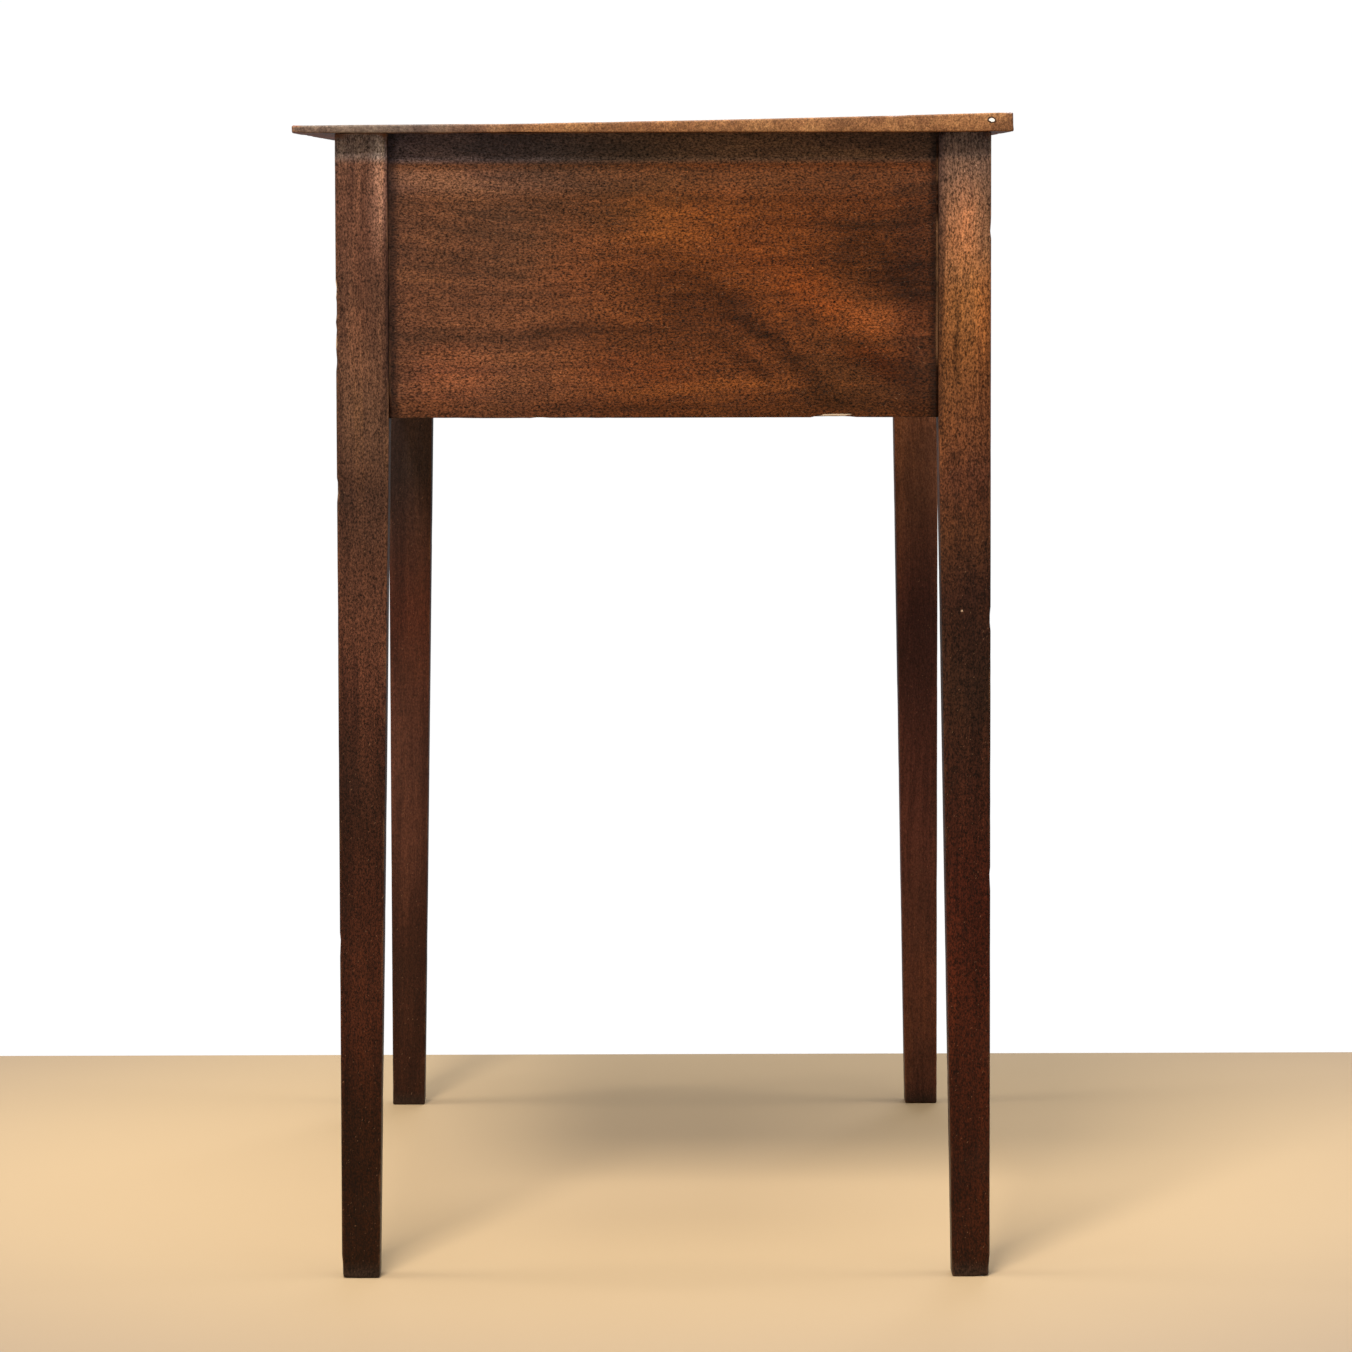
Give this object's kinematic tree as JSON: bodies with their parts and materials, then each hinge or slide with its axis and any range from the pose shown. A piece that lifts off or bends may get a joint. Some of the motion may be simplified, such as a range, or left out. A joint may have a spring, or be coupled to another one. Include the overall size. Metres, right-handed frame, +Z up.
{
  "type": "side table with drawer",
  "caption": "Small mahogany side table with a thin overhanging top, deep plain rails, square legs tapered on their inner faces, and one full-width drawer with flush ring pulls.",
  "frame": {"origin": "on the floor, below the middle of the top", "axes": "+Z up; the drawer opens towards -Y, the back faces +Y, and the width runs along X"},
  "size_m": [0.79, 0.442, 0.7215],
  "materials": {
    "mahogany": "satin",
    "secondary_wood": "matte",
    "brass": "aged",
    "iron": "dull"
  },
  "bodies": {
    "table": {"table_top": "mahogany", "leg_front_left": "mahogany", "leg_front_right": "mahogany", "leg_back_left": "mahogany", "leg_back_right": "mahogany", "side_rail_left": "mahogany", "side_rail_right": "mahogany", "back_rail": "mahogany", "front_rail_upper": "mahogany", "front_rail_lower": "mahogany", "runner_left": "secondary_wood", "runner_right": "secondary_wood", "guide_left": "secondary_wood", "guide_right": "secondary_wood", "kicker_left": "secondary_wood", "kicker_right": "secondary_wood", "glue_blocks": "secondary_wood", "drawer_stops": "mahogany"},
    "drawer": {"drawer_front": "mahogany", "drawer_side_left": "secondary_wood", "drawer_side_right": "secondary_wood", "drawer_back": "secondary_wood", "drawer_bottom": "secondary_wood", "drawer_nails": "iron", "pull_plate_left": "brass", "pull_plate_right": "brass", "pull_screws": "brass"},
    "ring_left": {"pull_ring_left": "brass"},
    "ring_right": {"pull_ring_right": "brass"}
  },
  "joints": [
    {"name": "drawer_slide", "type": "slide", "parent": "table", "child": "drawer", "axis": [0, -1, 0], "range_m": [0, 0.28]},
    {"name": "ring_left_swing", "type": "hinge", "parent": "drawer", "child": "ring_left", "pos_m": [-0.205, -0.1888, 0.632], "axis": [-1, 0, 0], "range_deg": [-15, 130]},
    {"name": "ring_right_swing", "type": "hinge", "parent": "drawer", "child": "ring_right", "pos_m": [0.205, -0.1888, 0.632], "axis": [-1, 0, 0], "range_deg": [-15, 130]}
  ]
}
